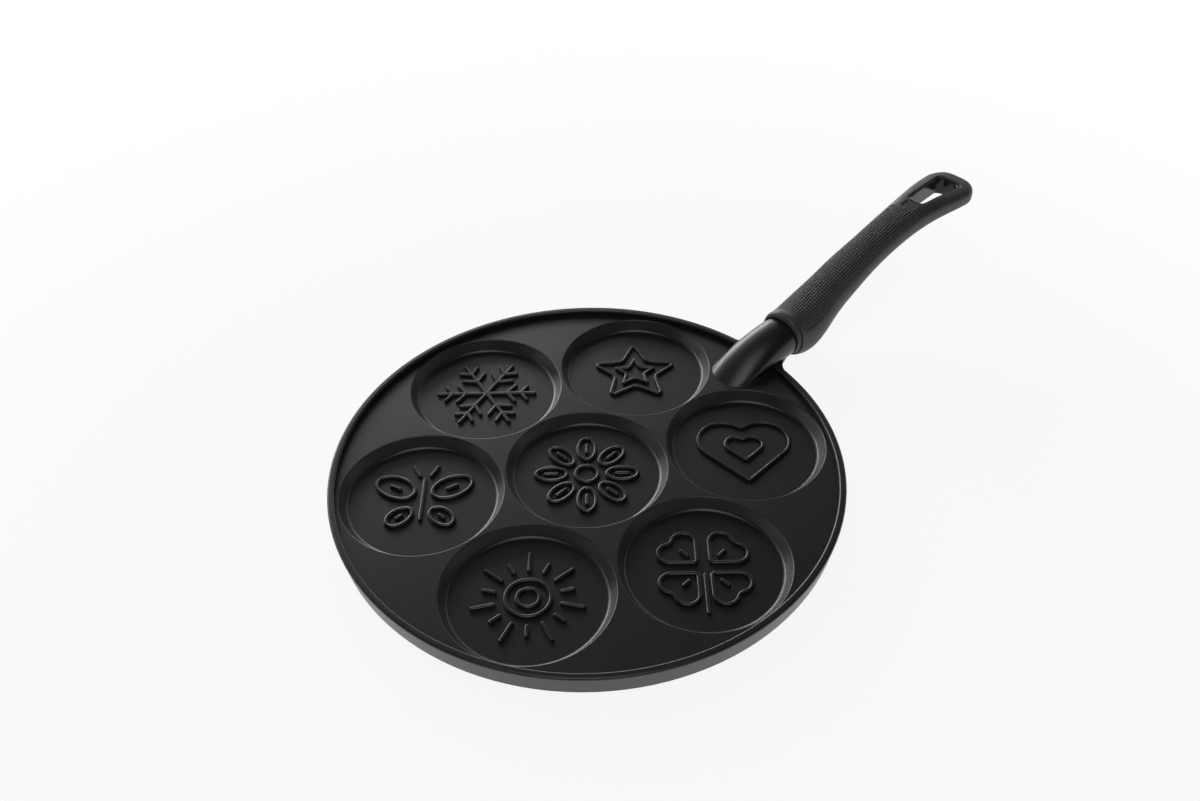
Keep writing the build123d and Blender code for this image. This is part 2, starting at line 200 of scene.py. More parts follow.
# Softboxes: name, place, width, height in metres, and watts. Each faces the middle of the pan.
SOFTBOXES = (
    ("key", (0.35, 1.5, 0.42), 1.6, 0.5, 20),
    ("top", (-0.3, -0.1, 1.9), 1.0, 1.0, 6),
    ("front", (-0.65, -0.8, 1.55), 0.9, 0.9, 5),
)

# Camera: fitted to the pan's rim, its wells and the handle's outline
CAMERA_AZIMUTH = -40.947
CAMERA_ELEVATION = 41.764
CAMERA_ROLL = -1.044
CAMERA_DISTANCE = 608.068 * MM
CAMERA_RIGHT = 7.490 * MM
CAMERA_UP = 41.135 * MM
CAMERA_LENS = 34.696
CAMERA_SENSOR = 36.0
CAMERA_NEAR = 0.01
CAMERA_FAR = 20


# Curves


def natural_spline(xs, ys, at):
    """A natural cubic spline through the points (xs, ys), read at the places at."""
    n = len(xs)
    step = np.diff(xs)
    rise = np.diff(ys) / step
    a = np.eye(n)
    b = np.zeros(n)
    for i in range(1, n - 1):
        a[i, i - 1 : i + 2] = step[i - 1], 2 * (step[i - 1] + step[i]), step[i]
        b[i] = 6 * (rise[i] - rise[i - 1])
    bend = np.linalg.solve(a, b)
    k = np.clip(np.searchsorted(xs, at) - 1, 0, n - 2)
    h, left, right = step[k], at - xs[k], xs[k + 1] - at
    return (
        (bend[k] * right**3 + bend[k + 1] * left**3) / (6 * h)
        + (ys[k] / h - bend[k] * h / 6) * right
        + (ys[k + 1] / h - bend[k + 1] * h / 6) * left
    )


def drawn_in(left, radius):
    """How far an edge of this radius has drawn in, this far from the end that it rounds."""
    short = np.clip(radius - left, 0, radius)
    return radius - np.sqrt(radius**2 - short**2)


def smooth_step(x, low, high):
    t = np.clip((x - low) / (high - low), 0, 1)
    return t * t * (3 - 2 * t)


def rounded_profile(corners):
    """Lines and arcs of an open outline, from its corners (radius, height, rounding)."""
    elements = []
    start = np.array(corners[0][:2])
    for before, here, after in zip(corners, corners[1:], corners[2:]):
        p, q, r = (np.array(corner[:2]) for corner in (before, here, after))
        into, out = (q - p) / np.linalg.norm(q - p), (r - q) / np.linalg.norm(r - q)
        bend = into[0] * out[1] - into[1] * out[0]
        reach = here[2] * math.tan(math.acos(np.clip(into @ out, -1, 1)) / 2)
        elements.append(("line", start, q - into * reach))
        if here[2]:
            side = math.copysign(1, bend)
            middle = q - into * reach + side * here[2] * np.array((-into[1], into[0]))
            elements.append(("arc", middle, here[2], side, q))
        start = q + out * reach
    elements.append(("line", start, np.array(corners[-1][:2])))
    return elements


def outline_points(elements, arc_steps):
    """Points along an outline of lines and arcs, with close pairs at the ends of each line."""
    points = []
    for k, element in enumerate(elements):
        if element[0] == "line":
            _, start, end = element
            close = (end - start) / np.linalg.norm(end - start) * LINE_END
            if not points or np.linalg.norm(points[-1] - start) > LINE_END / 2:
                points.append(start)
            points += [start + close, end - close, end]
            continue
        _, middle, radius, side, _ = element
        start, end = points[-1] - middle, elements[k + 1][1] - middle
        sweep = side * math.acos(np.clip(start @ end / radius**2, -1, 1))
        for s in range(1, arc_steps):
            c, d = math.cos(sweep * s / arc_steps), math.sin(sweep * s / arc_steps)
            turned = (start[0] * c - start[1] * d, start[0] * d + start[1] * c)
            points.append(middle + np.array(turned))
    return points


# Meshes


def new_mesh(name, verts, faces, material, smooth=True):
    mesh = bpy.data.meshes.new(name)
    mesh.from_pydata(verts, [], faces)
    mesh.validate()
    mesh.update()
    obj = bpy.data.objects.new(name, mesh)
    bpy.context.scene.collection.objects.link(obj)
    mesh.materials.append(material)
    if smooth:
        mesh.polygons.foreach_set("use_smooth", [True] * len(mesh.polygons))
    return obj


def swept(name, sections, closed, material):
    """A solid swept through cross-sections that all have the same number of points."""
    rows, count = len(sections), len(sections[0])
    faces = []
    for i in range(rows if closed else rows - 1):
        j = (i + 1) % rows
        for s in range(count):
            t = (s + 1) % count
            faces.append((i * count + s, j * count + s, j * count + t, i * count + t))
    if not closed:
        faces.append(tuple(range(count)))
        faces.append(tuple((rows - 1) * count + s for s in range(count)))
    verts = [tuple(v * MM for v in point) for section in sections for point in section]
    obj = new_mesh(name, verts, faces, material)
    edited = bmesh.new()
    edited.from_mesh(obj.data)
    bmesh.ops.recalc_face_normals(edited, faces=edited.faces)
    edited.to_mesh(obj.data)
    edited.free()
    return obj


def field_rows(items, field, width, kind=float):
    """A field of all the items of a mesh, as rows of width numbers."""
    values = np.zeros(len(items) * width, kind)
    items.foreach_get(field, values)
    return values.reshape(-1, width)


# Materials

# Inputs A and B and the output of a Mix node, for each kind of data
MIX_SOCKETS = {"RGBA": (6, 7, 2), "FLOAT": (2, 3, 0)}


def new_material(name):
    material = bpy.data.materials.new(name)
    material.use_nodes = True
    nodes = material.node_tree.nodes
    return material, nodes, material.node_tree.links, nodes["Principled BSDF"]


def object_coords(nodes):
    return nodes.new("ShaderNodeTexCoord").outputs["Object"]


def noise(nodes, links, coords, scale, detail, roughness=0.5):
    node = nodes.new("ShaderNodeTexNoise")
    node.inputs["Scale"].default_value = scale
    node.inputs["Detail"].default_value = detail
    node.inputs["Roughness"].default_value = roughness
    links.new(coords, node.inputs["Vector"])
    return node.outputs["Fac"]


def ramp(nodes, links, value, stops):
    """A colour that goes from the first of two stops (place, colour) to the second."""
    node = nodes.new("ShaderNodeValToRGB")
    for element, (place, colour) in zip(node.color_ramp.elements, stops):
        element.position = place
        element.color = (*colour, 1)
    links.new(value, node.inputs["Fac"])
    return node.outputs["Color"]


def tones(nodes, links, value, dark, light):
    """A colour that varies with a noise."""
    return ramp(nodes, links, value, ((NOISE_LOW, dark), (NOISE_HIGH, light)))


def to_range(nodes, links, value, low, high, start=0.0, end=1.0, kind="LINEAR"):
    """A number taken from the range start to end over to the range low to high."""
    node = nodes.new("ShaderNodeMapRange")
    node.interpolation_type = kind
    node.inputs["From Min"].default_value = start
    node.inputs["From Max"].default_value = end
    node.inputs["To Min"].default_value = low
    node.inputs["To Max"].default_value = high
    links.new(value, node.inputs["Value"])
    return node.outputs["Result"]


def bump(nodes, links, height, distance):
    node = nodes.new("ShaderNodeBump")
    node.inputs["Distance"].default_value = distance
    node.inputs["Strength"].default_value = 1
    links.new(height, node.inputs["Height"])
    return node.outputs["Normal"]


def mixed(nodes, links, share, first, second, kind):
    """A mix of two colours (RGBA) or two numbers (FLOAT)."""
    node = nodes.new("ShaderNodeMix")
    node.data_type = kind
    first_input, second_input, result = MIX_SOCKETS[kind]
    links.new(share, node.inputs["Factor"])
    links.new(first, node.inputs[first_input])
    links.new(second, node.inputs[second_input])
    return node.outputs[result]


def combined(nodes, links, operation, first, second):
    """A number worked out from two others."""
    node = nodes.new("ShaderNodeMath")
    node.operation = operation
    links.new(first, node.inputs[0])
    links.new(second, node.inputs[1])
    return node.outputs[0]


def coat_material():
    """Non-stick coat: black with a fine orange peel and a faint mottle in its gloss."""
    material, nodes, links, shader = new_material("nonstick_coat")
    coords = object_coords(nodes)
    mottle = noise(nodes, links, coords, scale=90, detail=4)
    grain = noise(nodes, links, coords, scale=1500, detail=2)
    peel = noise(nodes, links, coords, scale=700, detail=2, roughness=0.6)
    dark, light = (0.0042, 0.0042, 0.0044), (0.0062, 0.0062, 0.0065)
    links.new(tones(nodes, links, mottle, dark, light), shader.inputs["Base Color"])
    links.new(to_range(nodes, links, grain, 0.30, 0.38), shader.inputs["Roughness"])
    shader.inputs["Specular IOR Level"].default_value = 0.5
    links.new(bump(nodes, links, peel, 0.00003), shader.inputs["Normal"])
    return material


def skin_material():
    """Soft-touch rubber: charcoal and matte, with a painted highlight on the dots' tops and
    painted shade between them.
    """
    material, nodes, links, shader = new_material("soft_skin")
    coords = object_coords(nodes)
    mottle = noise(nodes, links, coords, scale=120, detail=5)
    grain = noise(nodes, links, coords, scale=2600, detail=2)
    # Painted light on the dots: the colour goes from painted shade between the dots to a painted
    # highlight on their tops
    painted_dot_shading = nodes.new("ShaderNodeAttribute")
    painted_dot_shading.attribute_name = "painted_dot_shading"
    low = tones(nodes, links, mottle, (0.004, 0.004, 0.0043), (0.006, 0.006, 0.0063))
    high = tones(nodes, links, mottle, (0.046, 0.046, 0.047), (0.06, 0.06, 0.061))
    tint = mixed(nodes, links, painted_dot_shading.outputs["Fac"], low, high, "RGBA")
    links.new(tint, shader.inputs["Base Color"])
    links.new(to_range(nodes, links, mottle, 0.42, 0.50), shader.inputs["Roughness"])
    shader.inputs["Specular IOR Level"].default_value = 0.5
    links.new(bump(nodes, links, grain, 0.00002), shader.inputs["Normal"])
    return material


def core_material():
    """Hard plastic: black and glossy in the slot, satin on the collar, with faint flow waves."""
    material, nodes, links, shader = new_material("core_plastic")
    coords = object_coords(nodes)
    waves = noise(nodes, links, coords, scale=160, detail=3)
    grain = noise(nodes, links, coords, scale=1800, detail=2)
    place = nodes.new("ShaderNodeSeparateXYZ")
    links.new(coords, place.inputs["Vector"])
    behind = to_range(nodes, links, place.outputs["X"], 0, 1, SATIN_END, SATIN_END + MM)
    satin = tones(nodes, links, grain, (0.034, 0.034, 0.034), (0.044, 0.044, 0.044))
    gloss = tones(nodes, links, waves, (0.006, 0.006, 0.0063), (0.009, 0.009, 0.0095))
    links.new(mixed(nodes, links, behind, satin, gloss, "RGBA"), shader.inputs["Base Color"])
    rough = to_range(nodes, links, grain, 0.40, 0.50)
    smooth = to_range(nodes, links, grain, 0.14, 0.22)
    links.new(mixed(nodes, links, behind, rough, smooth, "FLOAT"), shader.inputs["Roughness"])
    shader.inputs["Specular IOR Level"].default_value = 0.35
    links.new(bump(nodes, links, waves, 0.00004), shader.inputs["Normal"])
    return material


def steel_material():
    """Plated steel with fine turning marks."""
    material, nodes, links, shader = new_material("screw_steel")
    coords = object_coords(nodes)
    marks = noise(nodes, links, coords, scale=1400, detail=3)
    tint = tones(nodes, links, marks, (0.45, 0.45, 0.46), (0.6, 0.6, 0.61))
    links.new(tint, shader.inputs["Base Color"])
    links.new(to_range(nodes, links, marks, 0.22, 0.36), shader.inputs["Roughness"])
    shader.inputs["Metallic"].default_value = 1
    links.new(bump(nodes, links, marks, 0.00001), shader.inputs["Normal"])
    return material


def floor_material():
    """Pale and plain: it takes the object's shadow, and goes over to white further out."""
    material, nodes, links, shader = new_material("floor")
    shader.inputs["Base Color"].default_value = (FLOOR_WHITE, FLOOR_WHITE, FLOOR_WHITE, 1)
    shader.inputs["Roughness"].default_value = 1
    shader.inputs["Specular IOR Level"].default_value = 0
    white = nodes.new("ShaderNodeEmission")
    white.inputs["Strength"].default_value = 1
    rays = nodes.new("ShaderNodeLightPath").outputs
    seen = combined(nodes, links, "MAXIMUM", rays["Is Camera Ray"], rays["Is Glossy Ray"])
    seen = combined(nodes, links, "MAXIMUM", seen, rays["Is Transmission Ray"])
    length = nodes.new("ShaderNodeVectorMath")
    length.operation = "LENGTH"
    links.new(object_coords(nodes), length.inputs[0])
    distance = length.outputs["Value"]
    fade = to_range(nodes, links, distance, WHITE_NEAR, 1, FADE_START, FADE_END, "SMOOTHSTEP")
    mix = nodes.new("ShaderNodeMixShader")
    links.new(combined(nodes, links, "MULTIPLY", fade, seen), mix.inputs["Fac"])
    links.new(shader.outputs["BSDF"], mix.inputs[1])
    links.new(white.outputs["Emission"], mix.inputs[2])
    links.new(mix.outputs["Shader"], nodes["Material Output"].inputs["Surface"])
    return material


COAT = coat_material()
SKIN = skin_material()
CORE = core_material()
STEEL = steel_material()


def finish_node(name, material):
    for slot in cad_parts[name].material_slots:
        slot.material = material


# Pan: the casting's own faces, shaded with the true normals of its turned surfaces


def profile_match(elements, points, facing):
    """Distance from an outline and the outline's normal there, for points (radius, height)."""
    best = np.full(len(points), NO_MATCH)
    distance = np.full(len(points), NO_MATCH)
    normal = np.zeros((len(points), 2))
    for element in elements:
        if element[0] == "line":
            _, a, b = element
            along = (b - a) / np.linalg.norm(b - a)
            run = np.clip((points - a) @ along, 0, np.linalg.norm(b - a))
            off = np.linalg.norm(points - (a + run[:, None] * along), axis=1)
            direction = np.tile((along[1], -along[0]), (len(points), 1))
        else:
            _, middle, radius, side, corner = element
            away = points - middle
            size = np.maximum(np.linalg.norm(away, axis=1), TINY)
            direction = side * away / size[:, None]
            towards = (corner - middle) / np.linalg.norm(corner - middle)
            outside = away @ towards < ARC_REACH * radius
            off = np.abs(size - radius) + np.where(outside, OFF_THE_ARC, 0)
        cost = off + FACING_WEIGHT * (1 - (direction * facing).sum(1))
        closer = cost < best
        best[closer] = cost[closer]
        distance[closer] = off[closer]
        normal[closer] = direction[closer]
    return distance, normal


def turned_normals(points, facing, middle, elements):
    """Distance and normal in space for the surface turned about an upright axis."""
    flat = points[:, :2] - middle
    radius = np.maximum(np.linalg.norm(flat, axis=1), TINY)
    outward = flat / radius[:, None]
    profile_facing = np.stack([(facing[:, :2] * outward).sum(1), facing[:, 2]], 1)
    place = np.stack([radius, points[:, 2]], 1)
    distance, flat_normal = profile_match(elements, place, profile_facing)
    return distance, np.column_stack([outward * flat_normal[:, :1], flat_normal[:, 1]])


def turned_surfaces():
    """The casting's turned surfaces: the middle of each and its outline."""
    pan_middle = (0.0, 0.0)
    well = rounded_profile(WELL_PROFILE)
    surfaces = [(pan_middle, rounded_profile(DISC_PROFILE)), (pan_middle, well)]
    for k in range(WELLS_AROUND):
        turn = math.radians((k + 0.5) * 360 / WELLS_AROUND)
        middle = (WELL_RING_RADIUS * math.cos(turn), WELL_RING_RADIUS * math.sin(turn))
        surfaces.append((middle, well))
    return surfaces


def pan_mesh():
    """A copy of the casting's triangles, with the normals of the surfaces that they lie on."""
    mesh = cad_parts["pan_casting"].data.copy()
    owner = field_rows(mesh.loops, "vertex_index", 1, int)[:, 0]
    corners = (field_rows(mesh.vertices, "co", 3) / MM)[owner]
    normals = field_rows(mesh.corner_normals, "vector", 3)
    facing = np.repeat(field_rows(mesh.polygons, "normal", 3), 3, axis=0)
    for middle, elements in turned_surfaces():
        distance, exact = turned_normals(corners, facing, np.array(middle), elements)
        on_surface = (distance.reshape(-1, 3).max(1) < ON_SURFACE).repeat(3)
        normals[on_surface] = exact[on_surface]
    mesh.normals_split_custom_set(normals.tolist())
    return mesh


def add_pan():
    pan = bpy.data.objects.new("pan_surface", pan_mesh())
    bpy.context.scene.collection.objects.link(pan)
    pan.data.materials.clear()
    pan.data.materials.append(COAT)
    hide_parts("pan_casting")
    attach(pan, "root")


# Rim: a finely turned edge that lies on the casting's own


def add_rim():
    rim_outline = outline_points(rounded_profile(RIM_PROFILE), RIM_ARC_STEPS)
    rim_sections = []
    for k in range(RIM_PLACES):
        turn = 2 * math.pi * k / RIM_PLACES
        rim_sections.append([(r * math.cos(turn), r * math.sin(turn), z) for r, z in rim_outline])
    rim = swept("rim_edge", rim_sections, True, COAT)
    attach(rim, "root")


# Neck's foot: the small fillet where the neck leaves the deck


def neck_shape(run):
    """Crown, keel and width of the neck at a distance behind its toe."""
    share = run / (COLLAR_RADIUS - NECK_TOE)
    arched = share * (1 + NECK_ARCH * (1 - share))
    crown = DECK_HEIGHT + (NECK_CROWN - DECK_HEIGHT) * arched
    keel = NECK_KEEL_AT_TOE + (NECK_KEEL - NECK_KEEL_AT_TOE) * share
    narrower_at_toe = (NECK_WIDTH - NECK_WIDTH_AT_TOE) * (1 - share) ** NECK_SWELL
    narrower_at_collar = (NECK_WIDTH - NECK_WIDTH_AT_COLLAR) * share**2
    return crown, keel, NECK_WIDTH - narrower_at_toe - narrower_at_collar


def neck_outside(x, y, z):
    """How far outside the neck's cross-section a point lies: 0 on the surface."""
    crown, keel, width = neck_shape(x - NECK_TOE)
    up = abs((z - (crown + keel) / 2) / ((crown - keel) / 2))
    return abs(y / (width / 2)) ** NECK_SQUARENESS + up**NECK_SQUARENESS - 1


def foot_section(run, side):
    """Cross-section of the fillet where the neck's surface crosses the deck."""
    crown, keel, width = neck_shape(run)
    up = min(abs((DECK_HEIGHT - (crown + keel) / 2) / ((crown - keel) / 2)), 1)
    x = NECK_TOE + run
    y = side * width / 2 * (1 - up**NECK_SQUARENESS) ** (1 / NECK_SQUARENESS)
    z = DECK_HEIGHT
    steepest = Vector(
        (
            neck_outside(x + SLOPE_STEP, y, z) - neck_outside(x - SLOPE_STEP, y, z),
            neck_outside(x, y + SLOPE_STEP, z) - neck_outside(x, y - SLOPE_STEP, z),
            neck_outside(x, y, z + SLOPE_STEP) - neck_outside(x, y, z - SLOPE_STEP),
        )
    )
    outward = Vector((steepest.x, steepest.y, 0)).normalized()
    slope = math.acos(steepest.normalized().z)
    on_deck = Vector((x, y, z)) + outward * FOOT_ROUNDING * math.tan(slope / 2)
    middle = on_deck + Vector((0, 0, FOOT_ROUNDING))
    section = []
    for s in range(FOOT_STEPS + 1):
        turn = slope * s / FOOT_STEPS
        section.append(
            middle
            - Vector((0, 0, FOOT_ROUNDING * math.cos(turn)))
            - outward * FOOT_ROUNDING * math.sin(turn)
        )
    section.append(Vector((x, y, z)) - outward * FOOT_SUNK - Vector((0, 0, FOOT_SUNK)))
    return section


def add_foot():
    foot_runs = [NECK_FOOT_LENGTH * (k / FOOT_PLACES) ** 2 for k in range(FOOT_PLACES + 1)]
    foot_sections = [foot_section(run, 1) for run in reversed(foot_runs)]
    foot_sections += [foot_section(run, -1) for run in foot_runs[1:]]
    foot = swept("neck_foot", foot_sections, False, COAT)
    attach(foot, "root")


# Slot: its outline, and how far from it a place on the paddle lies


def slot_distance(x, y, grow):
    """Distance outside the slot's outline grown by grow: negative inside it."""
    far = SLOT_START + SLOT_LENGTH
    share = (x - SLOT_START) / SLOT_LENGTH
    width = SLOT_WIDTH_NEAR + share * (SLOT_WIDTH_FAR - SLOT_WIDTH_NEAR)
    dx = np.maximum(SLOT_START + SLOT_CORNER - grow - x, x - far + SLOT_CORNER - grow)
    dy = np.abs(y) - (width / 2 - SLOT_CORNER + grow)
    outside = np.hypot(np.maximum(dx, 0), np.maximum(dy, 0))
    return outside + np.minimum(np.maximum(dx, dy), 0) - SLOT_CORNER


def panel_distance(x, y):
    """Distance outside the sunk panel, which runs from the dots' end round the slot."""
    past_sides = np.abs(y) - PANEL_NECK_WIDTH / 2
    past_ends = np.maximum(PANEL_START - x, x - PANEL_NECK_END)
    return np.minimum(np.maximum(past_sides, past_ends), slot_distance(x, y, PANEL_MARGIN))


def slot_outline(grow, corner_steps):
    """Points round the slot's outline grown by grow, as (behind the collar, across)."""
    far = SLOT_START + SLOT_LENGTH
    corners = (
        (SLOT_START, -SLOT_WIDTH_NEAR / 2, 180),
        (far, -SLOT_WIDTH_FAR / 2, 270),
        (far, SLOT_WIDTH_FAR / 2, 0),
        (SLOT_START, SLOT_WIDTH_NEAR / 2, 90),
    )
    points = []
    for x, y, start in corners:
        middle_x = x + (SLOT_CORNER if x == SLOT_START else -SLOT_CORNER)
        middle_y = y - math.copysign(SLOT_CORNER, y)
        for step in range(corner_steps + 1):
            turn = math.radians(start + 90 * step / corner_steps)
            reach = SLOT_CORNER + grow
            points.append((middle_x + reach * math.cos(turn), middle_y + reach * math.sin(turn)))
    return points


# Grip: the moulding's outer surface, with its dots and the sunk panel cut in from it


def section_values(along):
    """Crown, keel, width and squareness of the grip, this far behind the collar's face."""
    table = np.array(SECTIONS)
    places = table[:, 0] * GRIP_LENGTH
    values = [natural_spline(places, table[:, k], along) for k in range(1, 5)]
    crown, keel, width, squareness = values
    left = GRIP_LENGTH - along
    edge = drawn_in(left, TIP_EDGE)
    corner = drawn_in(left, TIP_CORNER)
    return crown - edge, keel + edge, width - 2 * corner, squareness


def rounded_power(values, squareness):
    """Cosines or sines made over for the outline of a section with this squareness."""
    return np.sign(values) * np.abs(values) ** (2 / squareness)


def ring_points(crown, keel, width, squareness, count):
    """Points round a section, evenly spaced along it from the crown, with their turn."""
    turn = np.linspace(0, 2 * np.pi, TURN_STEPS, endpoint=False) + np.pi / 2
    y = width / 2 * rounded_power(np.cos(turn), squareness)
    z = (crown + keel) / 2 + (crown - keel) / 2 * rounded_power(np.sin(turn), squareness)
    y, z = np.append(y, y[0]), np.append(z, z[0])
    run = np.concatenate([[0], np.cumsum(np.hypot(np.diff(y), np.diff(z)))])
    even = np.arange(count) / count * run[-1]
    angle = np.interp(even, run, np.append(turn, turn[0] + 2 * np.pi))
    signed = np.where(even > run[-1] / 2, even - run[-1], even)
    return np.interp(even, run, y), np.interp(even, run, z), signed, angle


def grip_places():
    """Distances behind the collar's face of the grip's sections, close together on the dots."""
    fine = DOT_PITCH / DOT_STEPS
    along = [SKIN_START + SKIN_EDGE_ROUNDING * share for share in EDGE_SHARES]
    along += list(np.arange(along[-1] + fine, DOTS_END + DOTS_MARGIN, fine))
    along += list(np.linspace(along[-1] + PADDLE_STEP, GRIP_LENGTH - TIP_CORNER, PADDLE_PLACES))
    turns = np.linspace(0, np.pi / 2, TIP_PLACES)[1:]
    along += list(GRIP_LENGTH - TIP_CORNER * (1 - np.sin(turns)))
    along[-1] = GRIP_LENGTH - TIP_GAP
    return np.array(along)


def dot_dome(along, across):
    """Height of the dots as a share of their full height: 1 at a top, 0 between dots."""
    u = (along / DOT_PITCH + 0.5) % 1 - 0.5
    v = (across / DOT_PITCH + 0.5) % 1 - 0.5
    r = np.hypot(u, v) * DOT_PITCH / DOT_RADIUS
    return np.sqrt(np.clip(1 - r**2, 0, 1))


def dotted_share(x, width, angle):
    """How dotted a section is at each turn: 1 on the crown and underside, 0 on plain skin."""
    tilt = np.degrees(np.abs((angle - np.pi / 2 + np.pi) % (2 * np.pi) - np.pi))
    lean = DOTS_START + DOTS_START_SLANT * np.clip(1 - tilt / DOTS_TOP_ANGLE, 0, 1)
    inward = np.radians(DOTS_TOP_ANGLE - tilt) * width / 2
    on_top = smooth_step(inward, 0, DOTS_FADE) * smooth_step(x - lean, 0, DOTS_FADE)
    on_top = on_top * smooth_step(DOTS_END - x, 0, DOTS_FADE)
    inward = np.radians(tilt - DOTS_UNDER_ANGLE) * width / 2
    under = smooth_step(inward, 0, DOTS_FADE) * smooth_step(x - DOTS_UNDER_START, 0, DOTS_FADE)
    under = under * smooth_step(DOTS_UNDER_END - x, 0, DOTS_FADE)
    return on_top + under


def outward_normals(verts):
    """Unit normals of a tube of rings of points, facing out of it."""
    along = np.gradient(verts, axis=0)
    around = np.roll(verts, -1, 1) - np.roll(verts, 1, 1)
    normal = np.cross(along, around)
    normal /= np.maximum(np.linalg.norm(normal, axis=2, keepdims=True), TINY)
    outward = verts - verts.mean(1, keepdims=True)
    return -normal if (normal * outward).sum() < 0 else normal


def grip_points():
    """Rings of points on the skin from the collar to the tip, and the share of painted highlight
    or painted shade at each point.
    """
    along = grip_places()
    crown, keel, width, squareness = section_values(along)
    width = np.maximum(width, LEAST_WIDTH)
    path = np.concatenate([[0], np.cumsum(np.hypot(np.diff(along), np.diff(crown)))])
    verts = np.zeros((len(along), GRIP_SIDES, 3))
    depth = np.zeros((len(along), GRIP_SIDES))
    painted_dot_shading = np.zeros((len(along), GRIP_SIDES))
    for i, x in enumerate(along):
        y, z, across, angle = ring_points(crown[i], keel[i], width[i], squareness[i], GRIP_SIDES)
        verts[i] = np.stack([np.full(GRIP_SIDES, COLLAR_RADIUS + x), y, z], 1)
        dome = dot_dome(path[i], across)
        dotted = dotted_share(x, width[i], angle)
        # Painted highlight on the dots' tops, painted shade between them, and a middle share on
        # plain skin
        painted_dot_shading[i] = PLAIN_DOT_SHADING + dotted * (dome - PLAIN_DOT_SHADING)
        depth[i] = dotted * DOT_HEIGHT * (1 - dome)
        sunk = PANEL_DEPTH * (1 - smooth_step(panel_distance(x, y), -PANEL_WALL, 0))
        depth[i] += np.where(z > (crown[i] + keel[i]) / 2, sunk, 0)
        depth[i] += drawn_in(x - SKIN_START, SKIN_EDGE_ROUNDING)
    return verts - outward_normals(verts) * (depth + SKIN_INSET)[..., None], painted_dot_shading


def grip_faces(rows, count):
    """Quads between the rings of points, and the two ends."""
    faces = []
    for i in range(rows - 1):
        for j in range(count):
            k = (j + 1) % count
            faces.append((i * count + j, i * count + k, (i + 1) * count + k, (i + 1) * count + j))
    faces.append(tuple(reversed(range(count))))
    faces.append(tuple((rows - 1) * count + j for j in range(count)))
    return faces


def slot_cutter():
    """The slot's outline grown by the ledge, as a tall prism."""
    points = slot_outline(SLOT_LEDGE, LIP_CORNER_STEPS)
    n = len(points)
    low = [((COLLAR_RADIUS + x) * MM, y * MM, CUTTER_LOW * MM) for x, y in points]
    high = [((COLLAR_RADIUS + x) * MM, y * MM, CUTTER_HIGH * MM) for x, y in points]
    faces = [(k, (k + 1) % n, n + (k + 1) % n, n + k) for k in range(n)]
    faces += [tuple(reversed(range(n))), tuple(range(n, 2 * n))]
    return new_mesh("slot_cutter", low + high, faces, SKIN, smooth=False)


def cut_slot(obj):
    """Cuts the slot out of an object's mesh."""
    cutter = slot_cutter()
    cut = obj.modifiers.new("slot", "BOOLEAN")
    cut.operation = "DIFFERENCE"
    cut.solver = "EXACT"
    cut.object = cutter
    bpy.context.view_layer.update()
    evaluated = obj.evaluated_get(bpy.context.evaluated_depsgraph_get())
    cut_mesh = bpy.data.meshes.new_from_object(evaluated)
    obj.modifiers.clear()
    obj.data = cut_mesh
    bpy.data.objects.remove(cutter)


def add_grip():
    points, painted_dot_shading = grip_points()
    verts = (points.reshape(-1, 3) * MM).tolist()
    grip = new_mesh("grip_surface", verts, grip_faces(len(points), GRIP_SIDES), SKIN)
    # The dots' painted highlight and painted shade go to the skin's material as a point attribute
    grip.data.attributes.new("painted_dot_shading", "FLOAT", "POINT").data.foreach_set("value", painted_dot_shading.ravel())
    cut_slot(grip)
    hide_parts("grip_skin")
    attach(grip, "root")


# Slot's lip: a glossy bead of the core that lies on the ledge round the slot


def core_top(along, across):
    """Height of the core's surface under the skin, on its crown's side."""
    crown, keel, width, squareness = (float(v[0]) for v in section_values(np.array([along])))
    crown, keel, half = crown - SKIN_THICKNESS, keel + SKIN_THICKNESS, width / 2 - SKIN_THICKNESS
    share = (1 - min(abs(across) / half, 1) ** squareness) ** (1 / squareness)
    return (crown + keel) / 2 + (crown - keel) / 2 * share


def lip_path():
    """Places along the middle of the ledge, all round the slot."""
    path = []
    corners = slot_outline(SLOT_LEDGE / 2, LIP_CORNER_STEPS)
    for (x0, y0), (x1, y1) in zip(corners, corners[1:] + corners[:1]):
        steps = max(1, round(math.hypot(x1 - x0, y1 - y0) / LIP_STEP))
        for s in range(steps):
            path.append((x0 + (x1 - x0) * s / steps, y0 + (y1 - y0) * s / steps))
    return path


def slot_lip():
    """A closed bead, thinner than it is wide, that follows the slot's outline."""
    path = lip_path()
    sections = []
    for k, (x, y) in enumerate(path):
        before, after = path[k - 1], path[(k + 1) % len(path)]
        run = math.hypot(after[0] - before[0], after[1] - before[1])
        side_x, side_y = (after[1] - before[1]) / run, -(after[0] - before[0]) / run
        height = core_top(x, y)
        section = []
        for s in range(LIP_SIDES):
            turn = 2 * math.pi * s / LIP_SIDES
            out = LIP_HALF_WIDTH * math.cos(turn)
            rise = LIP_HEIGHT * math.sin(turn)
            section.append((COLLAR_RADIUS + x + side_x * out, y + side_y * out, height + rise))
        sections.append(section)
    return swept("slot_lip", sections, True, CORE)


def add_lip():
    lip = slot_lip()
    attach(lip, "root")


# Floor, light and camera


def add_floor():
    floor_ring = [
        (FLOOR_RADIUS * math.cos(a), FLOOR_RADIUS * math.sin(a), -FLOOR_DROP)
        for a in np.linspace(0, 2 * math.pi, FLOOR_SIDES, endpoint=False)
    ]
    faces = [tuple(range(FLOOR_SIDES))]
    floor = new_mesh("floor", floor_ring, faces, floor_material(), smooth=False)


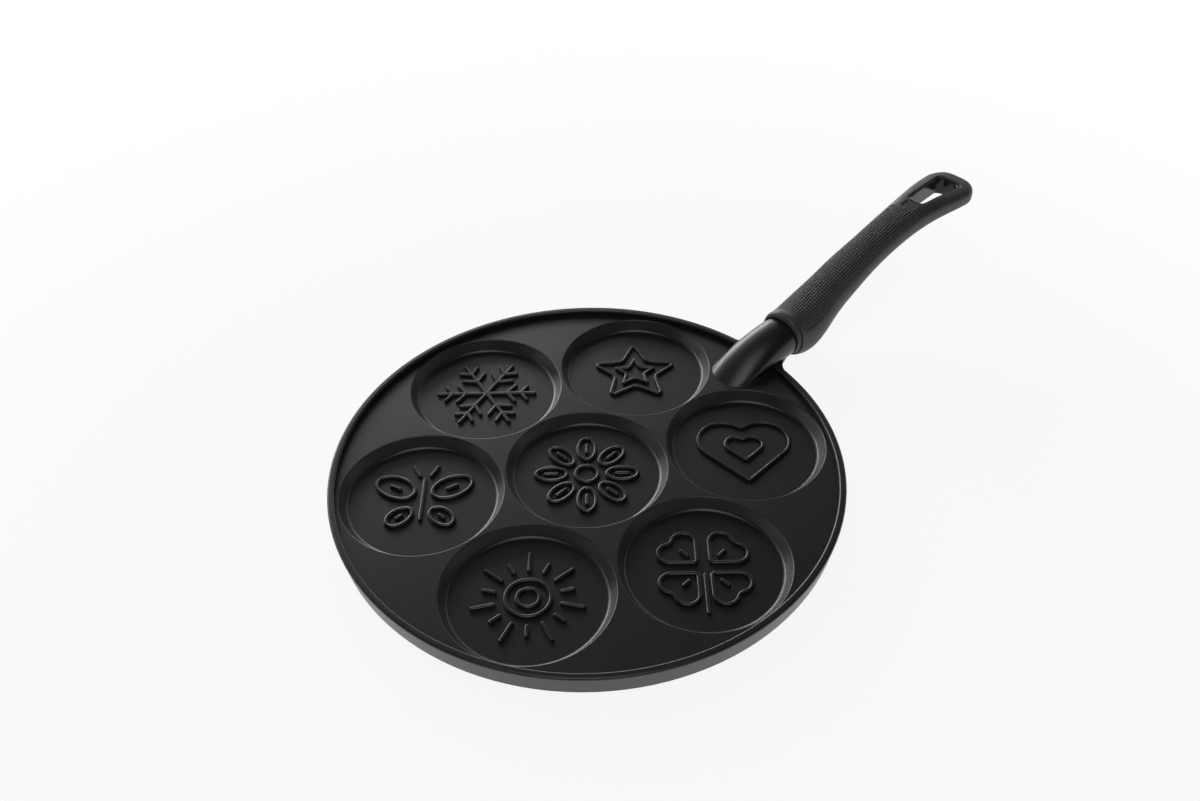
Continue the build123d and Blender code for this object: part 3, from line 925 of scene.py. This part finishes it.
def make_world():
    world = bpy.data.worlds.new("world")
    bpy.context.scene.world = world
    world.use_nodes = True
    nodes, links = world.node_tree.nodes, world.node_tree.links
    direction = nodes.new("ShaderNodeTexCoord").outputs["Generated"]
    height = nodes.new("ShaderNodeSeparateXYZ")
    links.new(direction, height.inputs["Vector"])
    towards = nodes.new("ShaderNodeVectorMath")
    towards.operation = "DOT_PRODUCT"
    towards.inputs[1].default_value = WALL_SIDE
    links.new(direction, towards.inputs[0])
    rise = to_range(nodes, links, towards.outputs["Value"], 0, WALL_RISE)
    above = combined(nodes, links, "SUBTRACT", height.outputs["Z"], rise)
    walls = ramp(nodes, links, above, ((WALL_TOP, WALL_COLOUR), (CEILING_START, CEILING_COLOUR)))
    links.new(walls, nodes["Background"].inputs["Color"])
    nodes["Background"].inputs["Strength"].default_value = 1


def softbox(name, place, width, height, watts):
    light = bpy.data.lights.new(name, "AREA")
    light.shape = "RECTANGLE"
    light.size = width
    light.size_y = height
    light.energy = watts
    obj = bpy.data.objects.new(name, light)
    bpy.context.scene.collection.objects.link(obj)
    obj.location = place
    obj.rotation_mode = "QUATERNION"
    obj.rotation_quaternion = (-Vector(place)).to_track_quat("-Z", "Y")
    obj.visible_camera = False


def make_camera():
    azimuth, elevation, roll = (
        math.radians(v) for v in (CAMERA_AZIMUTH, CAMERA_ELEVATION, CAMERA_ROLL)
    )
    back = Vector(
        (
            math.sin(azimuth) * math.cos(elevation),
            -math.cos(azimuth) * math.cos(elevation),
            math.sin(elevation),
        )
    )
    right = (-back).cross(Vector((0, 0, 1))).normalized()
    up = right.cross(-back)
    place = back * CAMERA_DISTANCE + right * CAMERA_RIGHT + up * CAMERA_UP
    turned_right = right * math.cos(roll) + up * math.sin(roll)
    turned_up = up * math.cos(roll) - right * math.sin(roll)
    turn = Matrix((turned_right, turned_up, back)).transposed()
    data = bpy.data.cameras.new("camera")
    data.lens = CAMERA_LENS
    data.sensor_width = CAMERA_SENSOR
    data.clip_start = CAMERA_NEAR
    data.clip_end = CAMERA_FAR
    camera = bpy.data.objects.new("camera", data)
    bpy.context.scene.collection.objects.link(camera)
    camera.matrix_world = Matrix.Translation(place) @ turn.to_4x4()
    bpy.context.scene.camera = camera


finish_node("pan_casting", COAT)
finish_node("handle_core", CORE)
finish_node("handle_screw", STEEL)
finish_node("lock_washer", STEEL)
add_pan()
add_grip()
add_lip()
add_rim()
add_foot()
add_floor()
make_world()
for box in SOFTBOXES:
    softbox(*box)
make_camera()
bpy.context.scene.view_settings.view_transform = "Standard"
